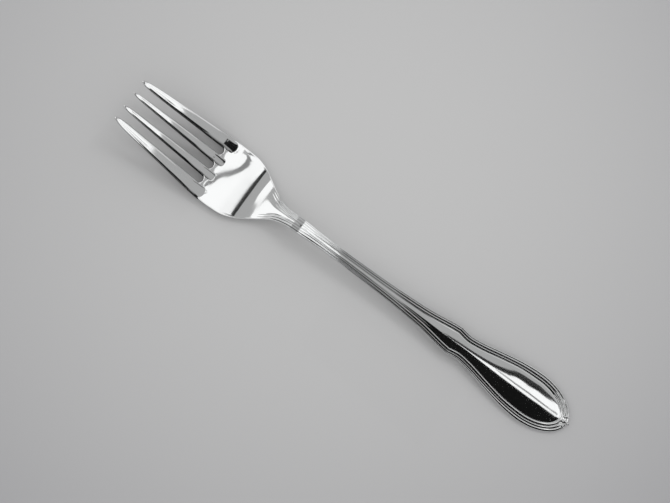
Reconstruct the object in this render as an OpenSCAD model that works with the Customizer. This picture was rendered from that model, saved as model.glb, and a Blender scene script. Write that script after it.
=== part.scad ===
// Dinner fork with four tines, a slim stem and a flared handle with a double-thread border.
// The real fork is one forging. Each node here is a named region of it, a solid of its own,
// and neighbouring regions meet face to face.
// X runs from the tine tips to the end of the handle, Y goes across and Z is up from the table.
// The fork rests on the heel of its head and on the back of its handle's end.

/* [Tines] */
// Length from the tine tips to the closed ends of the slots
tine_l = 38; // [30:0.5:46]
// Width of each slot at its closed end
slot_w = 3.2; // [2.6:0.1:4]
// Width of an inner tine at its root
inner_tine_w = 3.35; // [2.6:0.05:3.8]
// Width of an outer tine at its root
outer_tine_w = 4.7; // [3.8:0.05:5.8]
// Distance from the middle of the fork to the tip of an inner tine
inner_tip_y = 3; // [2.6:0.1:3.4]
// Distance from the middle of the fork to the tip of an outer tine
outer_tip_y = 8.3; // [7.6:0.1:9.2]
// Thickness of a tine near its tip
tip_t = 1.1; // [0.8:0.05:1.5]
// Length over which a tine comes to its point
point_l = 2.4; // [1.5:0.1:4]
// Thickness of a tine at its root
root_t = 2.3; // [1.8:0.05:2.8]
// Drop of a tine's faces from its middle to its edges
tine_crown = 0.1; // [0.05:0.01:0.25]

/* [Palm] */
// Length of the palm from the slot ends to the neck
palm_l = 20; // [15:0.5:26]
// How far each side of the palm swells past the roots of the tines
palm_swell = 0.3; // [0.1:0.05:1]
// Thickness in the middle of the palm
palm_t = 2.2; // [1.8:0.05:2.8]
// Rise of the palm's edges over its middle, seen from above
dish_h = 0.5; // [0.2:0.05:1]
// Rise of the palm's edges over its middle, on the back
belly_h = 0.9; // [0.4:0.05:1.2]

/* [Neck and stem] */
// Length of the neck, where the palm draws in to the stem
neck_l = 17; // [13:0.5:22]
// Length of the slim stem
stem_l = 37; // [28:0.5:46]
// Width of the flat strip between the borders on the stem
stem_flat_w = 0.9; // [0.5:0.05:1.6]
// Width of each border on the stem
stem_border_w = 2; // [1.5:0.05:2.6]
// Thickness of the stem
stem_t = 3.6; // [2.8:0.05:4.4]
// Drop of the stem's edges below its top
stem_crown = 0.5; // [0.2:0.05:0.8]
// Rise of the stem's edges on the back
stem_belly = 1.1; // [0.6:0.05:1.4]

/* [Handle] */
// Length from the stem to the shoulders
grip_l = 37.2; // [28:0.2:46]
// Length from the shoulders to the waist behind them
waist_l = 4.9; // [3:0.1:8]
// Length from the waist to the widest part
flare_l = 31.9; // [24:0.1:40]
// Length of the rounded end behind the widest part
end_l = 18.3; // [14:0.1:24]
// Width across the shoulders
shoulder_w = 11.7; // [10:0.1:14]
// Width across the waist
waist_w = 10.5; // [8.6:0.1:11.4]
// Width of the panel at the widest part
panel_w = 14; // [11:0.1:18]
// Thickness in the middle of the handle
handle_t = 3; // [2.2:0.05:3.6]
// Thickness at the end of the handle
end_t = 2.3; // [1.9:0.05:3]
// Drop of the handle's edges below the crown of the panel
crown_h = 0.6; // [0.3:0.05:0.8]
// Rise of the handle's edges on the back
back_h = 0.45; // [0.2:0.05:0.7]

/* [Border] */
// Width of each border at the widest part
border_w = 3.4; // [2.6:0.1:4.2]
// Depth of the grooves beside the threads
thread_h = 0.35; // [0.2:0.05:0.45]
// Length of the border's arch between the panel and the end of the handle
arch_border_w = 4.2; // [3.4:0.1:6]

/* [Tip ornament] */
// Diameter of each rounded lobe
lobe_d = 1.9; // [1.4:0.05:2.4]
// Distance between the middles of neighbouring lobes
lobe_pitch = 1.75; // [1.4:0.05:2.4]
// Length of the middle lobe
lobe_l = 3.4; // [2.6:0.1:5]
// How far the middle lobe stands out past the rounded end
lobe_reach = 0.7; // [0.3:0.05:1.2]
// How far the lobes stand above the surface
lobe_h = 0.35; // [0.2:0.05:0.6]

/* [Side view] */
// Slope of the tines
tine_angle = 16; // [10:0.5:22]
// Slope of the neck
neck_angle = 32; // [24:0.5:36]
// Slope of the rear half of the handle
grip_angle = 3.6; // [1:0.5:5]
// Distance from the slot ends to the bend of the heel
heel_l = 4.5; // [2:0.1:7]
// Half the length of the heel's bend
heel_r = 7; // [4:0.1:8]
// Distance from the start of the neck to the bend at its foot
foot_l = 2.6; // [1:0.1:6]
// Half the length of the bend at the foot of the neck
foot_r = 7; // [4:0.1:9]
// Distance from the start of the neck to the bend of the arch
arch_l = 14.5; // [12:0.5:18]
// Half the length of the arch's bend
arch_r = 11; // [6:0.1:14]
// Distance from the start of the stem to the bend of the handle
sag_l = 43; // [34:0.5:52]
// Half the length of the handle's bend
sag_r = 30; // [20:0.5:33]
// Distance from the widest part to the bend where the end lies down
rest_l = 2; // [0:0.1:6]
// Half the length of that bend
rest_r = 10; // [6:0.1:14]
// Depth by which the resting places are worn flat
worn_h = 0.08; // [0.04:0.01:0.15]

/* [Edges] */
// Radius of the edges of the tines
tine_r = 0.4; // [0.2:0.05:0.6]
// Radius of the edges of the palm and the handle
rim_r = 0.5; // [0.2:0.05:0.7]

/* [Hidden] */
steel = "#C3C6C8";

// Places along the fork, measured from the tine tips
root_x = tine_l - slot_w/2;
neck_x = tine_l + palm_l;
stem_x = neck_x + neck_l;
grip_x = stem_x + stem_l;
shoulder_x = grip_x + grip_l;
waist_x = shoulder_x + waist_l;
wide_x = waist_x + flare_l;
rim_x = wide_x + end_l;
fork_l = rim_x + lobe_reach;
palm_mid_x = tine_l + palm_l/2;

// Half widths and the places of the tines across the fork
inner_root_y = (slot_w + inner_tine_w)/2;
outer_root_y = 1.5*slot_w + inner_tine_w + outer_tine_w/2;
slot_pitch = slot_w + inner_tine_w;
root_half = 1.5*slot_w + inner_tine_w + outer_tine_w;
stem_half = stem_flat_w/2 + stem_border_w;
handle_half = panel_w/2 + border_w;

// Numbers of steps along each region
tine_steps = 14;
palm_steps = 14;
neck_steps = 14;
stem_steps = 16;
grip_steps = 16;
waist_steps = 4;
flare_steps = 16;
end_steps = 9;
// The borders follow the rounded end up to this angle, where the ornament starts
end_angle = 72;

// A smooth curve through a table of [place, value] pairs, which never overshoots
function rate(t, i) = (t[i + 1][1] - t[i][1])/(t[i + 1][0] - t[i][0]);
function blend_rate(a, b) = a*b <= 0 ? 0 : 2*a*b/(a + b);
function knot_rate(t, i) =
    i == 0 ? rate(t, 0)
    : i == len(t) - 1 ? rate(t, i - 1)
    : blend_rate(rate(t, i - 1), rate(t, i));
function span_at(t, x, i = 0) = i >= len(t) - 2 || x < t[i + 1][0] ? i : span_at(t, x, i + 1);
function follow(t, x) =
    let (
        i = span_at(t, x),
        h = t[i + 1][0] - t[i][0],
        u = (x - t[i][0])/h,
        rise = t[i + 1][1] - t[i][1],
        a = knot_rate(t, i)*h,
        b = knot_rate(t, i + 1)*h
    )
    t[i][1] + u*(a + u*(3*rise - 2*a - b + u*(a + b - 2*rise)));

// Outline of the head, the neck and the stem: shares of each length, then of each width
palm_shares = [[0.3, 1], [0.6, 0.97], [0.9, 0.78]];
neck_start_share = 0.675;
neck_shares = [[0.235, 0.426], [0.41, 0.245], [0.59, 0.117], [0.765, 0.067]];
stem_start_share = 0.043;
stem_shares = [[0.14, 0.033], [0.3, 0.006], [0.46, 0]];
stem_end_share = 0.088;
grip_shares = [[0.11, 0.123], [0.27, 0.2], [0.43, 0.305], [0.59, 0.42], [0.75, 0.63], [0.91, 0.9]];
flare_shares = [[0.18, 0.148], [0.34, 0.36], [0.5, 0.577], [0.656, 0.767], [0.81, 0.918]];
head_gain = root_half + palm_swell - stem_half;
grip_gain = shoulder_w/2 - stem_half;
flare_gain = handle_half - waist_w/2;
front_outline = concat(
    [[root_x, root_half]],
    [for (s = palm_shares) [tine_l + s[0]*palm_l, stem_half + s[1]*head_gain]],
    [[neck_x, stem_half + neck_start_share*head_gain]],
    [for (s = neck_shares) [neck_x + s[0]*neck_l, stem_half + s[1]*head_gain]],
    [[stem_x, stem_half + stem_start_share*head_gain]],
    [for (s = stem_shares) [stem_x + s[0]*stem_l, stem_half + s[1]*head_gain]],
    [[grip_x, stem_half + stem_end_share*grip_gain]],
    [for (s = grip_shares) [grip_x + s[0]*grip_l, stem_half + s[1]*grip_gain]],
    [[shoulder_x, shoulder_w/2]]
);
// The last pair mirrors the one before the widest part, so that the outline is level there
back_outline = concat(
    [[shoulder_x, shoulder_w/2], [waist_x, waist_w/2]],
    [for (s = flare_shares) [waist_x + s[0]*flare_l, waist_w/2 + s[1]*flare_gain]],
    [[wide_x, handle_half], [wide_x + flare_l/4, waist_w/2 + 0.9*flare_gain]]
);
function end_share(x) = max(0, x - wide_x)/end_l;
function half_w(x) =
    x <= root_x ? root_half
    : x <= shoulder_x ? follow(front_outline, x)
    : x <= wide_x ? follow(back_outline, x)
    : handle_half*sqrt(max(0, 1 - pow(end_share(x), 2)));

// Width of the border beside the panel, as a share of the way from the stem's to the handle's
border_shares = [
    [neck_x, 0.3], [stem_x, 0.3], [stem_x + stem_l/2, 0], [grip_x, 0.1],
    [shoulder_x, 0.5], [waist_x, 0.45], [wide_x, 1], [rim_x, 1]
];
function band_w(x) = stem_border_w + follow(border_shares, x)*(border_w - stem_border_w);
function panel_half(x) = half_w(x) - band_w(x);

// Side view: the middle of the metal runs in level or sloping stretches with smooth bends
heel_x = tine_l + heel_l;
foot_x = neck_x + foot_l;
arch_x = neck_x + arch_l;
sag_x = stem_x + sag_l;
rest_x = wide_x + rest_l;
function bend(x, at, r) =
    x <= at - r ? 0
    : x >= at + r ? x - at
    : let (t = (x - at + r)/(2*r)) 2*r*pow(t, 3)*(1 - t/2);
function known_z(x) =
    tan(tine_angle)*(bend(x, heel_x, heel_r) - x)
    + tan(neck_angle)*(bend(x, foot_x, foot_r) - bend(x, arch_x, arch_r))
    + tan(grip_angle)*(bend(x, rest_x, rest_r) - bend(x, sag_x, sag_r));
function fall_run(x) = bend(x, arch_x, arch_r) - bend(x, sag_x, sag_r);

// Thickness in the middle, and how far the edges rise on the top and on the back
point_share = 0.45;
neck_mid_x = neck_x + neck_l/2;
stem_mid_x = stem_x + stem_l/2;
thick_table = [
    [0, tip_t*point_share], [point_l, tip_t], [root_x, root_t], [palm_mid_x, palm_t],
    [neck_x, palm_t*0.85 + stem_t*0.15], [neck_mid_x, palm_t*0.4 + stem_t*0.6],
    [stem_x, stem_t*1.05], [stem_mid_x, stem_t], [grip_x, stem_t*0.75 + handle_t*0.25],
    [shoulder_x, stem_t*0.2 + handle_t*0.8], [wide_x, handle_t],
    [rim_x - rest_r/2, end_t], [fork_l, end_t]
];
lift_table = [
    [0, dish_h*0.3], [root_x, dish_h*0.7], [palm_mid_x, dish_h], [neck_x, dish_h*0.5],
    [neck_mid_x, -stem_crown], [stem_x, -stem_crown], [grip_x, -stem_crown],
    [shoulder_x, -crown_h*0.8], [wide_x, -crown_h], [fork_l, -crown_h]
];
under_table = [
    [0, belly_h*0.3], [root_x, belly_h*0.6], [palm_mid_x, belly_h], [neck_x, belly_h],
    [neck_mid_x, stem_belly], [stem_x, stem_belly], [grip_x, stem_belly*0.8],
    [shoulder_x, back_h*1.2], [wide_x, back_h], [fork_l, back_h]
];
function thick(x) = follow(thick_table, x);
// The front half of the handle falls at the slope that lays the end on the table
heel_rest_x = heel_x + heel_r;
heel_mid_z = thick(heel_rest_x)/2 - worn_h;
end_mid_z = thick(rim_x)/2 - worn_h;
fall_rate = (end_mid_z - heel_mid_z - known_z(rim_x) + known_z(heel_rest_x))/fall_run(rim_x);
function mid_z(x) = heel_mid_z + known_z(x) - known_z(heel_rest_x) + fall_rate*fall_run(x);
// How far out a point lies: 0 on the middle line and 1 on the outline
function ring(x, y) =
    x <= wide_x ? y/half_w(x) : sqrt(pow(end_share(x), 2) + pow(y/handle_half, 2));
function top_z(x, y) = mid_z(x) + thick(x)/2 + follow(lift_table, x)*pow(ring(x, y), 2);
function back_z(x, y) = max(0, mid_z(x) - thick(x)/2 + follow(under_table, x)*pow(ring(x, y), 2));

// The border: two rounded threads side by side, each between grooves.
// Shares across the border from the panel outwards, and the height of the threads there
thread_shares = [
    [0, 0], [0.06, 0.6], [0.21, 1], [0.36, 0.6], [0.42, 0],
    [0.48, 0.6], [0.67, 1], [0.86, 0.6], [0.93, 0]
];
// Shares of the panel's half width, and how far its edge has rolled over into the groove
panel_shares = [[0, 0], [0.4, 0], [0.75, 0], [0.9, 0.25], [1, 1]];
// The threads and grooves fade out along the neck, on to the palm
fade_table = [[neck_x, 0], [neck_x + neck_l*0.2, 0], [neck_x + neck_l*0.6, 1], [fork_l, 1]];
function groove_z(x) = thread_h*follow(fade_table, x);

// Angles round a corner, from the flat of the top or the back to the side wall
corner_angles = [30, 60, 90];
function unwind(list) = [for (i = [len(list) - 1:-1:0]) list[i]];
// A whole section from its left side, then its right side backwards, sharing the middle line
function close_loop(left, right) =
    concat(left, [for (i = [len(right) - 2:-1:1]) right[i]]);

// One side of a tine in section, from the middle of the top round to the middle of the back.
// The shares give the points across its flat, and the angles those round its corners
tine_flat_shares = [0, 0.5, 1];
tine_corner_angles = [45, 90];
function corner_drop(x, y, r) = min(r, 0.3*(top_z(x, y) - back_z(x, y)));
// The faces are crowned across their width by the crown, besides the dish of the head
function tine_side(x, mid_y, half, r, crown, side) =
    let (
        flat = half - r,
        y_r = mid_y + side*flat,
        drop = corner_drop(x, y_r, r),
        top_edge = top_z(x, y_r) - crown,
        back_edge = back_z(x, y_r) + crown
    )
    concat(
        [for (s = tine_flat_shares) let (y = mid_y + side*s*flat) [x, y, top_z(x, y) - crown*s*s]],
        [for (a = tine_corner_angles) [x, y_r + side*r*sin(a), top_edge - drop*(1 - cos(a))]],
        [for (a = unwind(tine_corner_angles)) [x, y_r + side*r*sin(a), back_edge + drop*(1 - cos(a))]],
        [for (s = unwind(tine_flat_shares)) let (y = mid_y + side*s*flat) [x, y, back_z(x, y) + crown*s*s]]
    );
function tine_loop(x, mid_y, half, r, crown) = close_loop(
    tine_side(x, mid_y, half, r, crown, 1),
    tine_side(x, mid_y, half, r, crown, -1)
);

// One border in section, from its inner line round the outer edge and back along the underside.
// a and b are its places on the panel's side and on the outline, and raised is 0 without threads
rim_share = 0.1;
under_shares = [0, 0.3, 0.65, 1];
function border_side(a, b, raised) =
    let (
        out = b - a,
        round_share = min(0.5, rim_r/norm(out)),
        e = a + (1 - rim_share)*out,
        f = a + (1 - round_share)*out,
        groove = groove_z(e[0]),
        edge_z = top_z(e[0], e[1]) - groove,
        drop = min(rim_r, 0.4*(edge_z - back_z(f[0], f[1])))
    )
    concat(
        [for (s = thread_shares) let (p = a + s[0]*out)
            [p[0], p[1], top_z(p[0], p[1]) - groove_z(p[0])*(1 - raised*s[1])]],
        [for (v = corner_angles) let (p = b - rim_share*(1 - sin(v))*out)
            [p[0], p[1], edge_z - drop*(1 - cos(v))]],
        [for (v = unwind(corner_angles)) let (p = b - round_share*(1 - sin(v))*out)
            [p[0], p[1], back_z(f[0], f[1]) + drop*(1 - cos(v))]],
        [for (s = unwind(under_shares)) let (p = a + s*(f - a)) [p[0], p[1], back_z(p[0], p[1])]]
    );

// The panel between the borders, as one side of a section without its side wall
panel_back_shares = [0, 0.5];
function panel_top(x, half, roll, side) =
    [for (s = panel_shares) let (y = side*s[0]*half)
        [x, y, top_z(x, y) - groove_z(x)*max(roll, s[1])]];
function panel_back(x, half, side) =
    [for (s = unwind(panel_back_shares)) let (y = side*s*half) [x, y, back_z(x, y)]];
function trim_last(list) = [for (i = [0:len(list) - 2]) list[i]];
function threaded_side(x, side) = concat(
    trim_last(panel_top(x, panel_half(x), 0, side)),
    border_side([x, side*panel_half(x)], [x, side*half_w(x)], 1),
    panel_back(x, panel_half(x), side)
);
function threaded_loop(x) = close_loop(threaded_side(x, 1), threaded_side(x, -1));
function panel_side(x, half, roll, side) = concat(
    panel_top(x, half, roll, side),
    [[x, side*half, back_z(x, half)]],
    panel_back(x, half, side)
);
function panel_loop(x, half, roll) =
    close_loop(panel_side(x, half, roll, 1), panel_side(x, half, roll, -1));

// Places of the sections along each region
function steps(from, len, n, first) = [for (i = [first:n]) from + len*i/n];
tine_xs = [for (i = [0:tine_steps]) root_x*pow(i/tine_steps, 1.6)];
handle_xs = concat(
    steps(grip_x, grip_l, grip_steps, 0),
    steps(shoulder_x, waist_l, waist_steps, 1),
    steps(waist_x, flare_l, flare_steps, 1)
);
end_angles = steps(0, end_angle, end_steps, 1);
arch_l_in = end_l - arch_border_w;
function arch_at(a) = [wide_x + arch_l_in*sin(a), panel_w/2*cos(a)];
function rim_at(a) = [wide_x + end_l*sin(a), handle_half*cos(a)];

// Triangles of a loft through loops that all have the same number of points.
// An end is one flat polygon, or where it isn't flat, strips from the top down to the back,
// and then tops is the number of points on the top of one side
function loft_walls(rows, n) =
    [for (i = [0:rows - 2], j = [0:n - 1])
        let (a = i*n + j, b = i*n + (j + 1) % n) each [[a, b, b + n], [a, b + n, a + n]]];
function flat_ends(rows, n) =
    [[for (j = [n - 1:-1:0]) j], [for (j = [0:n - 1]) (rows - 1)*n + j]];
function right_index(j, tops) = j == 0 ? 0 : j == 2*tops - 1 ? j : 4*tops - 2 - j;
function strip(a, b, c, d) = [[a, b, c], [a, c, d]];
function strip_ends(rows, n, tops) =
    let (last = (rows - 1)*n, r = [for (j = [0:2*tops - 1]) right_index(j, tops)])
    [for (j = [0:tops - 2]) let (k = 2*tops - 1 - j) each concat(
        strip(k, k - 1, j + 1, j),
        strip(r[j], r[j + 1], r[k - 1], r[k]),
        strip(last + j, last + j + 1, last + k - 1, last + k),
        strip(last + r[k], last + r[k - 1], last + r[j + 1], last + r[j])
    )];
module loft(loops, tops = 0) {
    rows = len(loops);
    n = len(loops[0]);
    translate([-fork_l/2, 0, 0])
        polyhedron(
            points = [for (l = loops) each l],
            faces = concat(loft_walls(rows, n), tops > 0 ? strip_ends(rows, n, tops) : flat_ends(rows, n)),
            convexity = 4
        );
}

// A tine: it narrows from its root to a blunt point, and its middle line runs straight.
// Shares of the length from the tip, then of the width at the root
tine_shares = [[0, 0.18], [0.02, 0.3], [0.06, 0.41], [0.15, 0.54], [0.5, 0.75], [1, 1]];
module tine(root_y, tip_y, root_w) {
    color(steel)
        loft([
            for (x = tine_xs)
                let (
                    share = x/root_x,
                    mid_y = tip_y + share*(root_y - tip_y),
                    taper = follow(tine_shares, share),
                    half = taper*root_w/2
                )
                tine_loop(x, mid_y, half, min(tine_r, 0.6*half), taper*tine_crown)
        ]);
}
module outer_tine_left() {
    tine(outer_root_y, outer_tip_y, outer_tine_w);
}
module inner_tine_left() {
    tine(inner_root_y, inner_tip_y, inner_tine_w);
}
module inner_tine_right() {
    mirror([0, 1, 0]) inner_tine_left();
}
module outer_tine_right() {
    mirror([0, 1, 0]) outer_tine_left();
}

// The palm: the dished plate behind the tines, with the round ends of the three slots.
// Its front row of points runs across the roots of the tines and round the slot ends.
// Each column has its distance from the middle and how far a slot sets the front back there
slot_turns = [for (i = [0:8]) -90 + 22.5*i];
outer_root_shares = [0.4, 0.75, 1];
outer_start_y = slot_pitch + slot_w/2;
palm_flat = root_half - rim_r;
function slot_column(mid_y, turn) = [mid_y + slot_w/2*sin(turn), slot_w/2*cos(turn)];
palm_columns = concat(
    [for (turn = slot_turns) if (turn >= 0) slot_column(0, turn)],
    [[inner_root_y, 0]],
    [for (turn = slot_turns) slot_column(slot_pitch, turn)],
    [for (s = outer_root_shares) [outer_start_y + s*(palm_flat - outer_start_y), 0]]
);
function palm_side(x, front, side) =
    let (
        flat = half_w(x) - rim_r,
        k = side*flat/palm_flat,
        drop = corner_drop(x, flat, rim_r)
    )
    concat(
        [for (c = palm_columns) let (p = x + front*c[1], y = k*c[0]) [p, y, top_z(p, y)]],
        [for (a = corner_angles) [x, side*(flat + rim_r*sin(a)), top_z(x, flat) - drop*(1 - cos(a))]],
        [for (a = unwind(corner_angles))
            [x, side*(flat + rim_r*sin(a)), back_z(x, flat) + drop*(1 - cos(a))]],
        [for (c = unwind(palm_columns)) let (p = x + front*c[1], y = k*c[0]) [p, y, back_z(p, y)]]
    );
function palm_loop(x, front) = close_loop(palm_side(x, front, 1), palm_side(x, front, -1));
palm_xs = concat([root_x], steps(tine_l + rim_r, palm_l - rim_r, palm_steps, 0));
module palm() {
    color(steel)
        loft(
            [for (i = [0:len(palm_xs) - 1]) palm_loop(palm_xs[i], i == 0 ? 1 : 0)],
            len(palm_columns) + len(corner_angles)
        );
}

// The neck: the palm draws in and rises to the stem, and the threads start on its edges
module neck() {
    color(steel)
        loft([for (x = steps(neck_x, neck_l, neck_steps, 0)) threaded_loop(x)]);
}

// The stem: slim and deep, with a border along each side and a narrow flat between them
module stem() {
    color(steel)
        loft([for (x = steps(stem_x, stem_l, stem_steps, 0)) threaded_loop(x)]);
}

// The panel: the crowned middle of the handle, up to the arch of the border
module handle_panel() {
    color(steel)
        loft(concat(
            [for (x = handle_xs) panel_loop(x, panel_half(x), 0)],
            [for (i = [0:end_steps - 1])
                let (p = arch_at(end_angles[i]), left = end_steps - 1 - i)
                panel_loop(p[0], p[1], left == 0 ? 1 : left == 1 ? 0.3 : 0)]
        ));
}

// A border: two threads along the handle's edge, from the stem round to the ornament
module border_left() {
    color(steel)
        loft(concat(
            [for (x = handle_xs) border_side([x, panel_half(x)], [x, half_w(x)], 1)],
            [for (a = end_angles) border_side(arch_at(a), rim_at(a), 1)]
        ));
}
module border_right() {
    mirror([0, 1, 0]) border_left();
}

// The ornament: a plain ground between the ends of the borders, with three rounded lobes
ground_steps = 6;
module ground() {
    chord = arch_at(end_angle);
    loft([
        for (i = [-ground_steps:ground_steps])
            let (
                share = -i/ground_steps,
                rim = rim_at(90 - (90 - end_angle)*abs(share)),
                side = share < 0 ? -1 : 1
            )
            border_side([chord[0], share*chord[1]], [rim[0], side*rim[1]], 0)
    ]);
}
module lobe(x, y, length) {
    r = lobe_d/2;
    z = top_z(x, y) - groove_z(x) + lobe_h - r;
    translate([x - fork_l/2, y, z]) {
        sphere(r = r, $fn = 32);
        translate([-length, 0, 0]) sphere(r = r, $fn = 32);
        translate([-length, 0, 0]) rotate([0, 90, 0]) cylinder(h = length, r = r, $fn = 32);
    }
}
module tip_ornament() {
    bead_x = fork_l - lobe_d/2;
    color(steel)
        difference() {
            union() {
                ground();
                lobe(bead_x, 0, lobe_l - lobe_d);
                for (side = [-1, 1])
                    lobe(bead_x - lobe_d/2, side*lobe_pitch, lobe_d/4);
            }
            translate([rim_x - fork_l/2 - end_l, -handle_half, -lobe_d])
                cube([2*end_l, 2*handle_half, lobe_d]);
        }
}

outer_tine_left();
inner_tine_left();
inner_tine_right();
outer_tine_right();
palm();
neck();
stem();
handle_panel();
border_left();
border_right();
tip_ornament();
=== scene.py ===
# %% [markdown]
# A polished dinner fork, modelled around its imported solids.
# The real fork is one forging, so its surface runs on without a seam from the tine tips to the
# end of the handle. This lesson builds one coarse cage for the whole surface, lets a
# Subdivision Surface round it, and then cuts the smooth skin into the named regions.

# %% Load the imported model
import bisect
import math

import bmesh
import bpy
from mathutils import Matrix, Vector


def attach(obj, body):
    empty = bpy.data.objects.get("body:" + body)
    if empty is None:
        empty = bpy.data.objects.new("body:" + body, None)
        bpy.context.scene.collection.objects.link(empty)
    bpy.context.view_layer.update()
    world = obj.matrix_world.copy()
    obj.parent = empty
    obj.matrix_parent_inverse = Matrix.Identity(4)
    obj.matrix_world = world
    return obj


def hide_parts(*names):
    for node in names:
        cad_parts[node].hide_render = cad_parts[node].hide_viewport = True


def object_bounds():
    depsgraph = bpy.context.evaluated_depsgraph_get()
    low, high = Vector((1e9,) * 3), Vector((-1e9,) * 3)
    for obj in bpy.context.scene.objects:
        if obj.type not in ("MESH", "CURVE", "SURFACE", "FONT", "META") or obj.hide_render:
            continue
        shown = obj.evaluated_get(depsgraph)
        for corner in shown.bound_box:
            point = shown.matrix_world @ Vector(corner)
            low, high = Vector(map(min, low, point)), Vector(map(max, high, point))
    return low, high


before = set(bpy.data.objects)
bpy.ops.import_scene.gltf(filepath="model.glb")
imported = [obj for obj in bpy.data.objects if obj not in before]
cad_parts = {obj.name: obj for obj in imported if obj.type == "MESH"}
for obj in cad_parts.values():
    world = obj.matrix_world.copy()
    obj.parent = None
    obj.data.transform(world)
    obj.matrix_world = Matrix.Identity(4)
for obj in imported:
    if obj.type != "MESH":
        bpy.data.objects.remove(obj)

cad_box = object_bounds()
print("packed box in metres:", cad_box)

# %% [markdown]
# The camera looks down almost straight at the fork, from about half a metre. Its place was
# found by matching a pinhole camera to the outline of the fork, with the two sides of the
# fork taken as mirror images of each other. The angles below are kept as a photographer
# would note them: a tilt away from straight down, the direction of that tilt, and a roll.

# %% Camera
MM = 0.001
FORK_L = (cad_box[1][0] - cad_box[0][0]) / MM
TILT = math.radians(11.827)
TILT_TOWARDS = math.radians(-110.10)
ROLL = math.radians(35.067)
# the place on the table in the middle of the picture, measured from the tine tips
LOOK_AT = Vector((93.534 - FORK_L / 2, 1.612, 0.0)) * MM
DISTANCE = 452.25 * MM
PHOTO_W = 670
FOCAL_PX = 1200
SENSOR_W = 36.0


def camera_matrix():
    """The camera's place and turn, from its tilt, roll and distance."""
    back = Vector((
        math.sin(TILT) * math.cos(TILT_TOWARDS),
        math.sin(TILT) * math.sin(TILT_TOWARDS),
        math.cos(TILT),
    ))
    level = Vector((0, 1, 0)).cross(back).normalized()
    upright = back.cross(level)
    right = math.cos(ROLL) * level + math.sin(ROLL) * upright
    up = math.cos(ROLL) * upright - math.sin(ROLL) * level
    turn = Matrix((right, up, back)).transposed()
    return Matrix.Translation(LOOK_AT + back * DISTANCE) @ turn.to_4x4()


camera_data = bpy.data.cameras.new("camera")
camera_data.sensor_width = SENSOR_W
camera_data.lens = FOCAL_PX * SENSOR_W / PHOTO_W
camera_data.clip_start = 0.01
camera = bpy.data.objects.new("camera", camera_data)
camera.matrix_world = camera_matrix()
bpy.context.scene.collection.objects.link(camera)
bpy.context.scene.camera = camera
print("lens in mm:", round(camera_data.lens, 1))

# %% [markdown]
# The shape follows a few curves along the fork: the outline, the height of the metal's middle
# over the table, its thickness, and how far its edges rise or drop. Each curve is a short
# table of places and values, joined smoothly. Places count from the tine tips, in millimetres.

# %% A smooth curve through a table
def rate(table, i):
    """The slope of the straight line from row i to the next."""
    return (table[i + 1][1] - table[i][1]) / (table[i + 1][0] - table[i][0])


def knot_rate(table, i):
    """The slope of the smooth curve at row i, level where the table turns round."""
    if i == 0:
        return rate(table, 0)
    if i == len(table) - 1:
        return rate(table, i - 1)
    before, after = rate(table, i - 1), rate(table, i)
    if before * after <= 0:
        return 0.0
    return 2 * before * after / (before + after)


def follow(table, x):
    """The value of the smooth curve through the table at x."""
    places = [row[0] for row in table]
    i = min(max(bisect.bisect_right(places, x) - 1, 0), len(table) - 2)
    span = table[i + 1][0] - table[i][0]
    u = (x - table[i][0]) / span
    rise = table[i + 1][1] - table[i][1]
    a = knot_rate(table, i) * span
    b = knot_rate(table, i + 1) * span
    return table[i][1] + u * (a + u * (3 * rise - 2 * a - b + u * (a + b - 2 * rise)))


print("a curve over a hill, near its top:", round(follow([(0, 0), (1, 1), (2, 0)], 0.9), 3))

# %% [markdown]
# A maker reads a fork's sizes off a drawing, in millimetres. Here they are the lengths of its
# stretches and the widths of its parts. The places below add up from them, so a longer tine
# moves everything that lies behind it.

# %% Places along the fork and widths across it
TINE_L, PALM_L, NECK_L, STEM_L = 38.0, 20.0, 17.0, 37.0
GRIP_L, WAIST_L, FLARE_L, END_L = 37.2, 4.9, 31.9, 18.3
SLOT_W, INNER_TINE_W, OUTER_TINE_W = 3.2, 3.35, 4.7
INNER_TIP_Y, OUTER_TIP_Y = 3.0, 8.3
STEM_FLAT_W, STEM_BORDER_W, BORDER_W = 0.9, 2.0, 3.4
SHOULDER_W, WAIST_W, PANEL_W = 11.7, 10.5, 14.0
ARCH_BORDER_W = 4.2
HEAD_SWELL = 0.3

ROOT_X = TINE_L - SLOT_W / 2
NECK_X = TINE_L + PALM_L
STEM_X = NECK_X + NECK_L
GRIP_X = STEM_X + STEM_L
SHOULDER_X = GRIP_X + GRIP_L
WAIST_X = SHOULDER_X + WAIST_L
WIDE_X = WAIST_X + FLARE_L
RIM_X = WIDE_X + END_L
PALM_MID_X = TINE_L + PALM_L / 2
ROOT_HALF = 1.5 * SLOT_W + INNER_TINE_W + OUTER_TINE_W
PALM_HALF = ROOT_HALF + HEAD_SWELL
STEM_HALF = STEM_FLAT_W / 2 + STEM_BORDER_W
HANDLE_HALF = PANEL_W / 2 + BORDER_W
print("fork length in mm:", round(FORK_L, 2), "widest half widths:", PALM_HALF, HANDLE_HALF)

# %% [markdown]
# The outline is drawn as half widths, because both sides of the fork are the same. Its end is
# half an ellipse, which a formula gives more evenly than a table of points.

# %% Outline
HEAD_OUTLINE = [
    (ROOT_X, ROOT_HALF), (44.0, PALM_HALF), (50.0, 12.83), (56.0, 10.8), (NECK_X, 9.6),
    (62.0, 6.98), (65.0, 5.06), (68.0, 3.7), (71.0, 3.17), (STEM_X, 2.91),
    (80.2, 2.81), (86.1, 2.51), (92.0, STEM_HALF), (GRIP_X, 2.75), (116.1, 2.87),
    (122.0, 3.13), (128.0, 3.49), (133.9, 3.88), (139.9, 4.6), (145.9, 5.51),
    (SHOULDER_X, SHOULDER_W / 2),
]
HANDLE_OUTLINE = [
    (SHOULDER_X, SHOULDER_W / 2), (WAIST_X, WAIST_W / 2), (159.8, 6.0), (164.9, 7.1),
    (170.0, 8.22), (175.0, 9.2), (179.9, 9.98), (WIDE_X, HANDLE_HALF), (WIDE_X + 8, 9.9),
]


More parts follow.
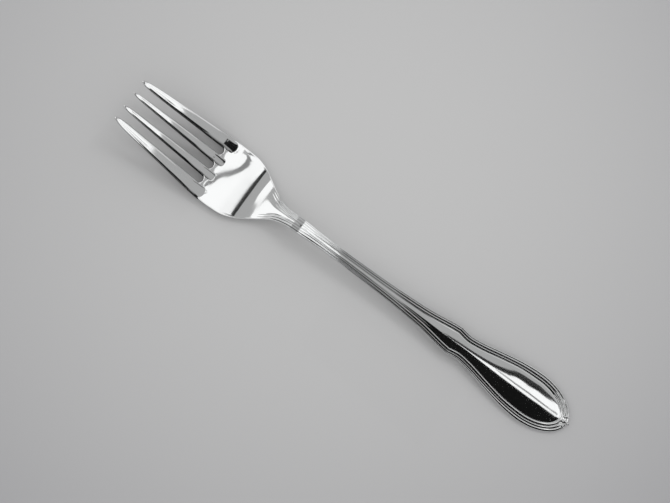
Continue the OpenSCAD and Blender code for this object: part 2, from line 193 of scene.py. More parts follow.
def half_w(x):
    """Half the width of the fork at a place along it."""
    if x <= ROOT_X:
        return ROOT_HALF
    if x <= SHOULDER_X:
        return follow(HEAD_OUTLINE, x)
    if x <= WIDE_X:
        return follow(HANDLE_OUTLINE, x)
    return HANDLE_HALF * math.sqrt(max(0.0, 1 - ((x - WIDE_X) / END_L) ** 2))


# how far the border's width has grown from the stem's to that at the widest part
BORDER_SHARES = [
    (NECK_X, 0.3), (STEM_X, 0.3), (STEM_X + STEM_L / 2, 0.0), (GRIP_X, 0.1),
    (SHOULDER_X, 0.28), (WAIST_X, 0.32), (165, 0.52), (176, 0.68), (WIDE_X, 1.0), (RIM_X, 1.0),
]


def band_w(x):
    """Width of the threaded border beside the panel."""
    return STEM_BORDER_W + follow(BORDER_SHARES, x) * (BORDER_W - STEM_BORDER_W)


def panel_half(x):
    """Half the width of the panel between the borders."""
    return half_w(x) - band_w(x)


print("half widths at the waist:", half_w(WAIST_X), round(panel_half(WAIST_X), 2))

# %% [markdown]
# Seen from the side, the metal's middle line runs through level or sloping stretches that are
# joined by smooth bends: down the tines to the heel, up the neck, over the arch of the stem,
# and down the handle until its end lies on the table.

# %% Side profile
# the middle of each bend, and how far the bend reaches to both sides of it
HEEL_X, HEEL_R = TINE_L + 4.5, 7.0
FOOT_X, FOOT_R = NECK_X + 2.6, 7.8
ARCH_X, ARCH_R = NECK_X + 14.5, 11.0
SAG_X, SAG_R = STEM_X + 43.0, 30.0
REST_X, REST_R = WIDE_X + 2.0, 10.0
TINE_SLOPE = math.tan(math.radians(16.0))
NECK_SLOPE = math.tan(math.radians(32.0))
GRIP_SLOPE = math.tan(math.radians(3.6))
WORN_H = 0.08


def bend(x, at, reach):
    """A run that starts from 0 with a smooth bend and then grows as x does."""
    t = (x - at + reach) / (2 * reach)
    if t <= 0:
        return 0.0
    if t >= 1:
        return x - at
    return 2 * reach * t ** 3 * (1 - t / 2)


def known_z(x):
    """Height of the middle line from the slopes of the tines, the neck and the rear handle."""
    tines = bend(x, HEEL_X, HEEL_R) - x
    neck = bend(x, FOOT_X, FOOT_R) - bend(x, ARCH_X, ARCH_R)
    rear = bend(x, REST_X, REST_R) - bend(x, SAG_X, SAG_R)
    return TINE_SLOPE * tines + NECK_SLOPE * neck + GRIP_SLOPE * rear


def fall_run(x):
    """How far the front half of the handle has run at x."""
    return bend(x, ARCH_X, ARCH_R) - bend(x, SAG_X, SAG_R)


print("bends at:", [round(x, 1) for x in (HEEL_X, FOOT_X, ARCH_X, SAG_X, REST_X)])

# %% [markdown]
# The blank is rolled thin towards the tips and left thick in the stem, where the fork has to
# be stiff. The palm is dished and the handle crowned, so the edges of the top rise on the head
# and drop behind it. The two places that touch the table are worn a little flat.

# %% Thickness and dish
THICKNESS = [
    (0.0, 0.36), (2.4, 1.1), (ROOT_X, 2.25), (HEEL_X, 2.4), (PALM_MID_X + 2, 2.3),
    (NECK_X, 2.41), (NECK_X + NECK_L / 2, 3.04), (STEM_X, 3.78), (STEM_X + STEM_L / 2, 3.6),
    (GRIP_X, 3.45), (SHOULDER_X, 3.12), (WIDE_X, 3.0), (RIM_X - REST_R / 2, 2.3), (FORK_L, 2.3),
]
# how far the edges of the top and the back lie above their middle line
TOP_LIFT = [
    (0.0, 0.15), (ROOT_X, 0.35), (PALM_MID_X, 0.5), (NECK_X, 0.25), (NECK_X + NECK_L / 2, -0.5),
    (STEM_X, -0.5), (GRIP_X, -0.5), (SHOULDER_X, -0.48), (WIDE_X, -0.6), (FORK_L, -0.6),
]
BACK_LIFT = [
    (0.0, 0.27), (ROOT_X, 0.54), (PALM_MID_X, 0.9), (NECK_X, 0.9), (NECK_X + NECK_L / 2, 1.1),
    (STEM_X, 1.1), (GRIP_X, 0.88), (SHOULDER_X, 0.54), (WIDE_X, 0.45), (FORK_L, 0.45),
]
HEEL_REST_X = HEEL_X + HEEL_R
HEEL_MID_Z = follow(THICKNESS, HEEL_REST_X) / 2 - WORN_H
END_MID_Z = follow(THICKNESS, RIM_X) / 2 - WORN_H
FALL_RATE = (END_MID_Z - HEEL_MID_Z - known_z(RIM_X) + known_z(HEEL_REST_X)) / fall_run(RIM_X)


def mid_z(x):
    """Height of the metal's middle over the table."""
    return HEEL_MID_Z + known_z(x) - known_z(HEEL_REST_X) + FALL_RATE * fall_run(x)


def ring(x, y):
    """How far out a point lies: 0 on the middle line and 1 on the outline."""
    if x <= WIDE_X:
        return y / half_w(x)
    return math.hypot((x - WIDE_X) / END_L, y / HANDLE_HALF)


def top_z(x, y):
    """Height of the top over the table, without threads."""
    return mid_z(x) + follow(THICKNESS, x) / 2 + follow(TOP_LIFT, x) * ring(x, y) ** 2


def back_z(x, y):
    """Height of the back over the table, worn flat where it rests."""
    return max(0.0, mid_z(x) - follow(THICKNESS, x) / 2 + follow(BACK_LIFT, x) * ring(x, y) ** 2)


heights = [round(mid_z(x), 2) for x in (0, HEEL_REST_X, STEM_X, RIM_X)]
print("height at the tips, heel, stem and end:", heights)

# %% [markdown]
# The cage is a flat pattern first, like the blank that the real fork is stamped from. Its
# columns keep their job from end to end: 0 to 4 run from the middle line to the inner groove,
# 4, 8 and 12 are the three grooves, 6 and 10 the two threads, 13 the start of the rounded edge
# and 14 the outline. On the head the same columns mark the sides of the slots and tines.

# %% Columns across the handle
COLUMNS = 14
ROLL_COL, GROOVE_COL, THREAD_END_COL, RIM_COL = 3, 4, 7, 13
EDGE_R = 0.45
THREAD_H = 0.36
# shares of the border's width at columns 4 to 14, where it is narrow and where it is wide
NARROW_PLACES = [0, 0.11, 0.23, 0.34, 0.45, 0.55, 0.65, 0.75, 0.84, 0.92, 1]
WIDE_PLACES = [0, 0.09, 0.20, 0.28, 0.36, 0.43, 0.51, 0.58, 0.66, 0.84, 1]
WIDENING = [(GRIP_X, 0.0), (SHOULDER_X, 0.2), (WIDE_X, 1.0), (RIM_X, 1.0)]
BORDER_DEPTHS = [1, 0.35, 0, 0.35, 1, 0.35, 0, 0.4, 0.8, 0.45, 0.8]
ROLL_DEPTH = 0.12
# the panel's columns, and its rounded edge, as shares of its half width
PANEL_STEP, ROLL_SHARE = 0.35, 0.25
ROLL_MAX = 0.4
# how deep the grooves are: they fade out on the neck
THREAD_FADE = [
    (NECK_X, 0.0), (NECK_X + 0.2 * NECK_L, 0.0), (NECK_X + 0.6 * NECK_L, 1.0), (FORK_L, 1.0),
]


def border_share(k, x):
    """How far across the border column k lies."""
    narrow, wide = NARROW_PLACES[k - GROOVE_COL], WIDE_PLACES[k - GROOVE_COL]
    return narrow + follow(WIDENING, max(x, GRIP_X)) * (wide - narrow)


def handle_y(k, x):
    """Distance of column k from the middle line, behind the neck."""
    panel = panel_half(x)
    if k < ROLL_COL:
        return PANEL_STEP * k * panel
    if k == ROLL_COL:
        return panel - min(ROLL_MAX, ROLL_SHARE * panel)
    return panel + border_share(k, x) * band_w(x)


def groove_depth(k, x):
    """How far column k lies below the plain top, because of the grooves."""
    if k < ROLL_COL:
        return 0.0
    share = ROLL_DEPTH if k == ROLL_COL else BORDER_DEPTHS[k - GROOVE_COL]
    return share * THREAD_H * follow(THREAD_FADE, x)


print("columns at the widest part:", [round(handle_y(k, WIDE_X), 2) for k in range(COLUMNS + 1)])

# %% [markdown]
# The slots are cut with a round-nosed cutter, so each ends in a half circle. The columns beside
# a slot follow that circle round its end, and then spread out over the palm until they meet
# the columns of the handle.

# %% Columns across the head
SLOT_R = SLOT_W / 2
SLOT_PITCH = SLOT_W + INNER_TINE_W
# turns round the end of a slot at which its middle column and the three beside it lie
SLOT_TURNS = [0.0, math.radians(40), math.radians(76), math.radians(84)]
INNER_ROOT_Y = (SLOT_W + INNER_TINE_W) / 2
OUTER_ROOT_Y = ROOT_HALF - OUTER_TINE_W / 2
# the first and last column of each tine, its middle at the tip and root, and its root width
TINES = [
    (2, 6, INNER_TIP_Y, INNER_ROOT_Y, INNER_TINE_W),
    (10, 14, OUTER_TIP_Y, OUTER_ROOT_Y, OUTER_TINE_W),
]
# a tine's width as a share of that at its root, from tip to root
TINE_TAPER = [
    (0, 0.09), (0.011, 0.18), (0.03, 0.29), (0.07, 0.41), (0.15, 0.54), (0.5, 0.75), (1, 1),
]
EDGE_SHARE = 0.4
SLOT_MIDDLES = {0: 0.0, 8: SLOT_PITCH}
# the columns on the sides of the slots, and those that run round their ends
SLOT_SIDES = (2, 6, 10)
SLOT_COLS = (0, 1, 2, 6, 7, 8, 9, 10)
PALM_YS = [0, 1.15, 1.75, 2.2, INNER_ROOT_Y, 4.3, 4.75, 5.35, SLOT_PITCH, 7.75, 8.35, 8.8, 10.5]


def tine_y(k, x):
    """Distance of column k from the middle line, along the tines."""
    for first, last, tip_y, root_y, root_w in TINES:
        if first <= k <= last:
            share = x / ROOT_X
            middle = tip_y + share * (root_y - tip_y)
            half = follow(TINE_TAPER, share) * root_w / 2
            rim = half - min(EDGE_R, EDGE_SHARE * half)
            return middle + (-half, -rim, 0, rim, half)[k - first]
    return PALM_YS[k]


def slot_point(k, radius, turns):
    """A point of column k on a circle round the end of its slot: its x past the root, and y."""
    nearest = 0 if k <= 3 else 8
    turn = turns[abs(k - nearest)]
    side = -1 if k < nearest else 1
    return radius * math.cos(turn), SLOT_MIDDLES[nearest] + side * radius * math.sin(turn)


print("columns at the roots:", [round(tine_y(k, ROOT_X), 2) for k in range(COLUMNS + 1)])

# %% [markdown]
# Rows cross the fork from the tips to the widest part. They lie close together where the form
# turns quickly, as at the tips, the bends and the waist, and far apart on straight stretches.

# %% Rows along the fork
TINE_XS = [0, 0.4, 1.1, 2.4, 5, 9, 14, 20, 26, 31, 34.2]
ROOT_ROW = len(TINE_XS)
ROOT_SET_BACK = 0.2
# the same turns for the row behind, on the rounded rim of the slot
RIM_TURNS = [0.0, math.radians(36), math.radians(60), math.radians(79)]
# past the root: how far the row lies behind it at the tines, and how much further at a slot
PALM_ROWS = [(1.7, 1.8), (3.6, 1.15), (6.0, 0.55), (8.6, 0.15)]
SLOT_BULGE = [1, 0.78, 0.33, 0.1, 0, 0.1, 0.33, 0.78, 1, 0.78, 0.33, 0.1, 0, 0, 0]
PLAIN_XS = [
    47.6, 50.4, 53.1, 55.6, NECK_X, 60.2, 62.4, 64.6, 66.9, 69.4, 72.1, STEM_X,
    79, 83.5, 88, 93, 98, 103, 107.5, GRIP_X, 116.5, 121, 125.5, 130, 134.5, 139, 143, 146.4,
    SHOULDER_X - 0.7, SHOULDER_X, SHOULDER_X + 0.7, 151.9, WAIST_X, 157, 161, 165, 169, 173, 177,
    181.5, WIDE_X,
]
FIRST_PLAIN = ROOT_ROW + 2 + len(PALM_ROWS)
ROWS = FIRST_PLAIN + len(PLAIN_XS)
SPREAD = [(ROOT_X, 0.0), (ROOT_X + 4, 0.0), (NECK_X + 2, 1.0), (FORK_L, 1.0)]


def head_y(k):
    """Distance of column k from the middle line, just behind the slots."""
    if k >= RIM_COL:
        return ROOT_HALF - (COLUMNS - k) * EDGE_R
    return PALM_YS[k]


def blended_y(k, x):
    """Distance of column k from the middle line, from behind the slots to the handle."""
    share = follow(SPREAD, x)
    head = head_y(k) * half_w(x) / ROOT_HALF
    if k == RIM_COL:
        head = half_w(x) - EDGE_R
    return (1 - share) * head + share * handle_y(k, x)


def pattern_point(k, row):
    """Place of column k in a row of the flat pattern, from the tine tips and the middle line."""
    if row < ROOT_ROW:
        return TINE_XS[row], tine_y(k, TINE_XS[row])
    past = row - ROOT_ROW
    in_slot = SLOT_BULGE[k] > 0
    if past == 0:
        if k in SLOT_COLS:
            dx, y = slot_point(k, SLOT_R, SLOT_TURNS)
            return ROOT_X + dx, y
        return ROOT_X - (ROOT_SET_BACK if in_slot else 0), tine_y(k, ROOT_X)
    if past == 1:
        if in_slot:
            dx, y = slot_point(k, SLOT_R + EDGE_R, RIM_TURNS)
            return ROOT_X + dx, y
        return ROOT_X + EDGE_R, tine_y(k, ROOT_X)
    if row < FIRST_PLAIN:
        behind, bulge = PALM_ROWS[past - 2]
        x = ROOT_X + behind + bulge * SLOT_BULGE[k]
    else:
        x = PLAIN_XS[row - FIRST_PLAIN]
    return x, blended_y(k, x)


print("rows:", ROWS, "columns on each side:", COLUMNS)

# %% [markdown]
# Three grids make the whole pattern: a long one from the tine tips to the widest part, a strip
# bent round the end like a horseshoe, and a patch that fills the horseshoe. Their shared
# corners fall on the same places, so merging by distance joins them.

# %% Region names
REGIONS = [
    "outer_tine_right", "inner_tine_right", "inner_tine_left", "outer_tine_left",
    "palm", "neck", "stem", "handle_panel", "border_right", "border_left", "tip_ornament",
]
NECK_ROW, STEM_ROW, GRIP_ROW = [FIRST_PLAIN + PLAIN_XS.index(x) for x in (NECK_X, STEM_X, GRIP_X)]
print("regions:", len(REGIONS), "starting rows:", NECK_ROW, STEM_ROW, GRIP_ROW)


def long_region(row, column):
    """Region of a face of the long grid; column is negative on the right side."""
    side = "left" if column > 0 else "right"
    if row < ROOT_ROW:
        return ("inner_tine_" if abs(column) < 6 else "outer_tine_") + side
    if row < NECK_ROW:
        return "palm"
    if row < STEM_ROW:
        return "neck"
    if row < GRIP_ROW:
        return "stem"
    return "handle_panel" if abs(column) < GROOVE_COL else "border_" + side


def in_slot_gap(row, column):
    """Whether a face of the long grid lies in the open part of a slot."""
    return row < ROOT_ROW and (abs(column) < 2 or 6 < abs(column) < 10)


# %% Helper that lays a grid in place
bm = bmesh.new()
GROOVE = bm.verts.layers.float.new("groove")
DROP = bm.verts.layers.float.new("drop")
LINE = bm.verts.layers.int.new("line")
print("numbers kept on each corner:", bm.verts.layers.float.keys() + bm.verts.layers.int.keys())


def lay_grid(rows, columns, place, region, skip=None):
    """A grid of faces; place gives each corner's x, y, groove depth, edge drop and column."""
    made = bmesh.ops.create_grid(bm, x_segments=rows, y_segments=columns, size=1)["verts"]
    faces = {f for v in made for f in v.link_faces}
    spots = {f: f.calc_center_median() for f in faces}
    spots = {f: ((c.x + 1) / 2 * rows, (c.y + 1) / 2 * columns) for f, c in spots.items()}
    for f, (i, j) in spots.items():
        f.material_index = REGIONS.index(region(i, j))
    for v in made:
        i = round((v.co.x + 1) / 2 * rows)
        j = round((v.co.y + 1) / 2 * columns)
        x, y, v[GROOVE], v[DROP], v[LINE] = place(i, j)
        v.co = (x, y, 0)
    if skip:
        gaps = [f for f, (i, j) in spots.items() if skip(i, j)]
        bmesh.ops.delete(bm, geom=gaps, context="FACES")
    return len(faces)


# %% [markdown]
# The long grid takes its corners from the rows and columns. The edges of the metal are
# rounded: a corner on an edge lies a little below the top and above the back.

# %% The long grid
WALL_DROP, WALL_DROP_SHARE = 0.36, 0.28


def wall_drop(x):
    """How far the edge of the top lies below it, less where the metal is thin."""
    return min(WALL_DROP, WALL_DROP_SHARE * follow(THICKNESS, x))


def is_wall(k, row):
    """Whether a corner of the pattern lies on an edge of the metal."""
    if row == 0 or k == COLUMNS:
        return True
    if row < ROOT_ROW:
        return k in SLOT_SIDES
    return row == ROOT_ROW and k in SLOT_COLS


def long_place(i, j):
    """Where corner (i, j) of the long grid goes."""
    column = j - COLUMNS
    k = abs(column)
    x, y = pattern_point(k, i)
    drop = wall_drop(x) if is_wall(k, i) else 0.0
    return x, math.copysign(y, column), groove_depth(k, x), drop, k


made = lay_grid(
    ROWS - 1, 2 * COLUMNS, long_place,
    lambda i, j: long_region(i, j - COLUMNS), lambda i, j: in_slot_gap(i, j - COLUMNS),
)
print("faces of the long grid:", made)

# %% The horseshoe and its filling
MERGE_DISTANCE = 0.02
END_TURNS = [0, 12, 24, 36, 48, 60, 72, 81, 90, 99, 108, 120, 132, 144, 156, 168, 180]
FIRST_LOBE, LAST_LOBE = END_TURNS.index(72), END_TURNS.index(108)
ARCH_L = END_L - ARCH_BORDER_W
ROLL_W = PANEL_W / 2 - handle_y(ROLL_COL, WIDE_X)


def end_point(k, turn):
    """A point of column k round the end of the handle."""
    angle = math.radians(turn)
    if k == ROLL_COL:
        along, across = ARCH_L - ROLL_W, PANEL_W / 2 - ROLL_W
    else:
        share = WIDE_PLACES[k - GROOVE_COL]
        along = ARCH_L + share * ARCH_BORDER_W
        across = PANEL_W / 2 + share * BORDER_W
    return WIDE_X + along * math.sin(angle), across * math.cos(angle)


def shoe_place(i, j):
    """Where corner (i, j) of the horseshoe goes; the outer thread stops short of its middle."""
    k = ROLL_COL + j
    x, y = end_point(k, END_TURNS[i])
    depth = groove_depth(k, x)
    if FIRST_LOBE < i < LAST_LOBE and THREAD_END_COL < k < RIM_COL:
        depth = THREAD_H
    return x, y, depth, wall_drop(x) if k == COLUMNS else 0.0, k


def shoe_region(i, j):
    """Region of a face of the horseshoe."""
    if j < 1:
        return "handle_panel"
    if FIRST_LOBE < i < LAST_LOBE:
        return "tip_ornament"
    return "border_left" if END_TURNS[int(i)] < 90 else "border_right"


PATCH_ROWS = 5
PATCH_COLS = len(END_TURNS) - 1 - 2 * PATCH_ROWS


def patch_place(i, j):
    """Where corner (i, j) of the patch goes, between its four border lines."""
    u, v = j / PATCH_COLS, i / PATCH_ROWS

    def start(j):
        return Vector((WIDE_X, math.copysign(handle_y(abs(3 - j), WIDE_X), 3 - j), 0))

    def side(turn):
        return Vector((*end_point(ROLL_COL, turn), 0))

    left, right = side(END_TURNS[i]), side(180 - END_TURNS[i])
    back = side(END_TURNS[PATCH_ROWS + j])
    corners = (1 - v) * ((1 - u) * start(0) + u * start(PATCH_COLS))
    corners += v * ((1 - u) * side(END_TURNS[PATCH_ROWS]) + u * side(180 - END_TURNS[PATCH_ROWS]))
    point = (1 - v) * start(j) + v * back + (1 - u) * left + u * right - corners
    on_edge = j in (0, PATCH_COLS) or i == PATCH_ROWS
    depth = groove_depth(ROLL_COL, point.x) if on_edge else 0.0
    return point.x, point.y, depth, 0.0, ROLL_COL if on_edge else 0


made = lay_grid(len(END_TURNS) - 1, COLUMNS - ROLL_COL, shoe_place, shoe_region)
made += lay_grid(PATCH_ROWS, PATCH_COLS, patch_place, lambda i, j: "handle_panel")
bmesh.ops.remove_doubles(bm, verts=bm.verts, dist=MERGE_DISTANCE)
bmesh.ops.recalc_face_normals(bm, faces=bm.faces)
open_edges = [e for e in bm.edges if e.is_boundary]
print("faces of the end:", made, "edges round the whole pattern:", len(open_edges))

# %% [markdown]
# Extruding the whole pattern gives the metal its thickness: the copy becomes the top and the
# first sheet the back. Both then take their heights from the side profile.

# %% Thickness
sheet_faces = len(bm.faces)
copy = bmesh.ops.extrude_face_region(bm, geom=bm.faces[:])["geom"]
top_verts = {v for v in copy if isinstance(v, bmesh.types.BMVert)}
for v in bm.verts:
    x, y = v.co.x, v.co.y
    if v in top_verts:
        v.co.z = top_z(x, y) - v[GROOVE] - v[DROP]
    else:
        v.co.z = back_z(x, y) + v[DROP]
bmesh.ops.recalc_face_normals(bm, faces=bm.faces)
print("faces of the sheet and of the closed cage:", sheet_faces, len(bm.faces))
print("edges left open:", sum(e.is_boundary for e in bm.edges))

# %% [markdown]
# A thread is rolled between two sharp grooves. A crease on the edges at the bottom of a groove
# keeps it sharp when the surface is rounded, and fades with the groove.

# %% Creases along the grooves
CREASE = bm.edges.layers.float.new("crease_edge")
GROOVE_LINES = (4, 8, 12)
GROOVE_CREASE = 0.5
for e in bm.edges:
    a, b = e.verts
    if a in top_verts and b in top_verts and a[LINE] == b[LINE] and a[LINE] in GROOVE_LINES:
        e[CREASE] = GROOVE_CREASE * min(a[GROOVE], b[GROOVE]) / THREAD_H

cage_mesh = bpy.data.meshes.new("cage")
print("creased edges:", sum(e[CREASE] > 0 for e in bm.edges))
bm.to_mesh(cage_mesh)
bm.free()

# %% [markdown]
# A Subdivision Surface pulls in from its cage, so the smooth skin would come out a little too
# slim. Moving each corner of the cage by what the skin misses there, a few times over, makes
# the skin pass through the corners that were worked out above.

# %% The smooth skin
cage = bpy.data.objects.new("cage", cage_mesh)
bpy.context.scene.collection.objects.link(cage)
rounder = cage.modifiers.new("Subdivision", "SUBSURF")
SKIN_LEVELS = 3
SETTLE_ROUNDS = 8


def smoothed(levels):
    """A copy of the cage's skin as a plain mesh."""
    rounder.levels = rounder.render_levels = levels
    cage.update_tag()
    graph = bpy.context.evaluated_depsgraph_get()
    return bpy.data.meshes.new_from_object(cage.evaluated_get(graph), depsgraph=graph)


wanted = [v.co.copy() for v in cage_mesh.vertices]
for _ in range(SETTLE_ROUNDS):
    skin = smoothed(1)
    for corner, place in zip(cage_mesh.vertices, wanted):
        corner.co += place - skin.vertices[corner.index].co
    bpy.data.meshes.remove(skin)
    cage_mesh.update()
skin = smoothed(SKIN_LEVELS)
misses = [(skin.vertices[i].co - place).length for i, place in enumerate(wanted)]
print("corners:", len(wanted), "largest miss in mm:", round(max(misses), 3))
print("faces of the skin:", len(skin.polygons))
bpy.data.objects.remove(cage)

# %% [markdown]
# The tines are coined after the slots are cut. Each one gets a slight crown and keeps straight
# for a few millimetres past its slot, where the palm already bends up, so it ends on the palm
# in a round thumb. That is only tenths of a millimetre, but in a mirror finish it is enough to
# bend every reflection, so the corners of the fine skin are moved. They are also kept inside
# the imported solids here, because a rounded tip can swell a little past its cage.

# %% Crowned tines
CROWN_H, CROWN_ROUND = 0.15, 6
CROWN_ENDS = {INNER_TINE_W: TINE_L + 3.0, OUTER_TINE_W: TINE_L + 4.2}
# share of the heel's bend that a thumb leaves out
STRAIGHT = 0.8


def crown(x, y):
    """How far the top of a tine lies over the plain top at a point; past its slot, under it."""
    for first, last, tip_y, root_y, root_w in TINES:
        share = min(x / ROOT_X, 1.0)
        middle = tip_y + share * (root_y - tip_y)
        half = follow(TINE_TAPER, max(share, 0.0)) * root_w / 2
        past = max(0.0, x - (CROWN_ENDS[root_w] - half))
        out = math.hypot(past, abs(y) - middle) / half
        if out < 1:
            sunk = STRAIGHT * TINE_SLOPE * bend(x, HEEL_X, HEEL_R)
            return (CROWN_H * half / (root_w / 2) - sunk) * (1 - out ** CROWN_ROUND)
    return 0.0


# the top is moved in full and the walls of the tines less, the steeper they are
STEEP = 0.5
upward = [v.normal.z for v in skin.vertices]
lifts = [
    crown(v.co.x, v.co.y) * min(1.0, up / STEEP) if up > 0 and v.co.x < NECK_X else 0.0
    for v, up in zip(skin.vertices, upward)
]
for v, lift in zip(skin.vertices, lifts):
    x, y, z = v.co
    v.co = max(x, 0.0), min(max(y, -PALM_HALF), PALM_HALF), max(z + lift, 0.0)
skin.update()
print("corners moved by the crowns:", sum(lift != 0 for lift in lifts))

# %% [markdown]
# The skin is now cut into the named regions. Each piece is closed where it was cut: the long
# cuts between the panel and its borders are bridged with a wall, and the cuts across the fork
# are filled. The skin's own normals are kept on every piece, so no seam shows in the polish.

# %% Edges of a cut
PANEL = REGIONS.index("handle_panel")
ROUND_PANEL = {PANEL, *(REGIONS.index(n) for n in ("border_left", "border_right", "tip_ornament"))}
print("panel and what lies round it:", [REGIONS[i] for i in sorted(ROUND_PANEL)])


def neighbour_edges(bm, region):
    """Edges round a region of the skin, grouped by the region on their other side."""
    groups = {}
    for e in bm.edges:
        sides = {f.material_index for f in e.link_faces}
        if region in sides and len(sides) == 2:
            (other,) = sides - {region}
            groups.setdefault(other, []).append(e)
    return groups


def close_cuts(bm, groups, region):
    """Bridges the long cuts between the panel and what lies round it, and fills the rest."""
    for other, edges in groups.items():
        if PANEL in (region, other) and {region, other} <= ROUND_PANEL:
            bmesh.ops.bridge_loops(bm, edges=edges)
    holes = [e for e in bm.edges if e.is_boundary]
    if holes:
        bmesh.ops.holes_fill(bm, edges=holes, sides=0)


# %% Cutting a piece out of the skin
TO_FRAME = Matrix.Scale(MM, 4) @ Matrix.Translation((-FORK_L / 2, 0, 0))


def finished_object(bm, name, normal_of):
    """An object in the frame's place and unit, with the normal that normal_of gives each corner."""
    bmesh.ops.transform(bm, matrix=TO_FRAME, verts=bm.verts)
    normals = []
    for f in bm.faces:
        f.smooth = True
        f.material_index = 0
        normals += [normal_of(f, loop.vert) for loop in f.loops]
    mesh = bpy.data.meshes.new(name)
    bm.to_mesh(mesh)
    mesh.normals_split_custom_set(normals)
    piece = bpy.data.objects.new(name, mesh)
    bpy.context.scene.collection.objects.link(piece)
    return piece


def cut_out(region, add_ons=None):
    """The closed piece of one region of the skin, with what add_ons puts on it."""
    bm = bmesh.new()
    bm.from_mesh(skin)
    kept_normal = bm.verts.layers.float_vector.new("kept_normal")
    for v in bm.verts:
        v[kept_normal] = v.normal
    groups = neighbour_edges(bm, region)
    others = [f for f in bm.faces if f.material_index != region]
    bmesh.ops.delete(bm, geom=others, context="FACES")
    skin_faces = set(bm.faces)
    close_cuts(bm, groups, region)
    if add_ons:
        add_ons(bm)
    bmesh.ops.recalc_face_normals(bm, faces=bm.faces)
    bm.normal_update()
    cut_faces = {f for f in bm.faces if f not in skin_faces and not f.smooth}

    def normal_of(f, v):
        if f in skin_faces:
            return v[kept_normal]
        return f.normal if f in cut_faces else v.normal

    piece = finished_object(bm, REGIONS[region] + "_skin", normal_of)
    open_edges = sum(e.is_boundary for e in bm.edges)
    print(piece.name, "faces:", len(bm.faces), "of them cuts:", len(cut_faces), "open:", open_edges)
    bm.free()
    return piece


# %% [markdown]
# The ornament at the end is a small leaf of three lobes on the sunken ground between the
# threads. Each lobe is a sphere stretched into a drop, wide at its head and narrow at its
# tail, half sunk into the metal, and the middle one carries a round bead at the very end.

# %% Lobes of the ornament
# head and tail of each drop, from the middle of the rounded rim, and its half width at both
LOBES = [
    ((-2.7, 0.0), (-0.2, 0.0), 0.78, 0.4),
    ((-0.6, 0.0), (0.64, 0.0), 0.62, 0.62),
    ((-2.65, 1.5), (-0.5, 2.5), 0.74, 0.34),
    ((-2.65, -1.5), (-0.5, -2.5), 0.74, 0.34),
]
LOBE_RISE = 0.7
print("lobes:", len(LOBES), "high in mm:", LOBE_RISE)


def add_lobes(bm):
    """Puts the drops of the ornament on its ground."""
    rim = Vector((RIM_X, 0.0))
    for head, tail, head_half, tail_half in LOBES:
        head, tail = rim + Vector(head), rim + Vector(tail)
        across = Vector((head.y - tail.y, tail.x - head.x)).normalized()
        made = bmesh.ops.create_uvsphere(bm, u_segments=24, v_segments=16, radius=1)["verts"]
        for v in made:
            share = (v.co.z + 1) / 2
            half = head_half + share * (tail_half - head_half)
            spot = head + share * (tail - head) + v.co.x * half * across
            ground = top_z(head.x, head.y) - THREAD_H
            v.co = (spot.x, spot.y, ground + v.co.y * LOBE_RISE * half / head_half)
        for f in {f for v in made for f in v.link_faces}:
            f.smooth = True


# %% The pieces
pieces = {}
for number, name in enumerate(REGIONS):
    piece = cut_out(number, add_lobes if name == "tip_ornament" else None)
    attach(piece, "root")
    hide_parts(name)
    pieces[name] = piece
bpy.data.meshes.remove(skin)
print("pieces:", len(pieces))

# %% [markdown]
# The metal is 18/10 stainless steel, forged and then polished with ever finer wheels until it
# mirrors the room. So nearly all of its look is reflection: a full metal of a light, neutral
# grey, with a very low roughness that the last polishing wheel leaves a little uneven.

# %% Colours and nodes
def linear(hex_colour):
    """An sRGB hex colour as the linear values that a shader takes."""
    parts = [int(hex_colour[i:i + 2], 16) / 255 for i in (1, 3, 5)]
    return [p / 12.92 if p <= 0.04045 else ((p + 0.055) / 1.055) ** 2.4 for p in parts] + [1.0]


def add_node(tree, kind, settings=None, links=None):
    """Adds a node with its settings and input values, and links other sockets to its inputs."""
    node = tree.nodes.new(kind)
    for name, value in (settings or {}).items():
        if isinstance(name, str) and hasattr(node, name):
            setattr(node, name, value)
        else:
            node.inputs[name].default_value = value
    for name, socket in (links or {}).items():
        tree.links.new(socket, node.inputs[name])
    return node


print("steel's colour in linear values:", [round(c, 3) for c in linear("#E2E3E3")])

# %% Polished 18/10 stainless steel
# patches as wide as the touch of a polishing wheel, clear in some places and hazier in others
HAZE_W = 16.7
CLEAR, HAZY = 0.03, 0.06
steel = bpy.data.materials.new("polished_18_10_stainless_steel")
steel.use_nodes = True
tree = steel.node_tree
tree.nodes.clear()
place = add_node(tree, "ShaderNodeTexCoord")
haze = add_node(
    tree, "ShaderNodeTexNoise", {"Scale": 1 / (HAZE_W * MM), "Detail": 3.0, "Roughness": 0.5},
    {"Vector": place.outputs["Object"]},
)
rough = add_node(
    tree, "ShaderNodeMapRange",
    {"From Min": 0.3, "From Max": 0.7, "To Min": CLEAR, "To Max": HAZY},
    {"Value": haze.outputs["Fac"]},
)
shader = add_node(
    tree, "ShaderNodeBsdfPrincipled", {"Base Color": linear("#E2E3E3"), "Metallic": 1.0},
    {"Roughness": rough.outputs["Result"]},
)
add_node(tree, "ShaderNodeOutputMaterial", None, {"Surface": shader.outputs["BSDF"]})
for piece in pieces.values():
    piece.data.materials.append(steel)
print("pieces in steel:", len(pieces))

# %% [markdown]
# The fork lies on a sheet of pale grey paper, which catches its soft shadow. A lamp close by
# lights the middle of the sheet more than its corners. Here that fall of the light is painted
# into the paper instead: a distance from the brightest place, squared, mixes two greys.

# %% Sheet of paper
FLOOR_HALF = 1500
floor_bm = bmesh.new()
bmesh.ops.create_grid(floor_bm, x_segments=1, y_segments=1, size=FLOOR_HALF * MM)
floor_mesh = bpy.data.meshes.new("floor")
floor_bm.to_mesh(floor_mesh)
floor_bm.free()
floor = bpy.data.objects.new("floor", floor_mesh)
bpy.context.scene.collection.objects.link(floor)
print("sheet's width in mm:", 2 * FLOOR_HALF)

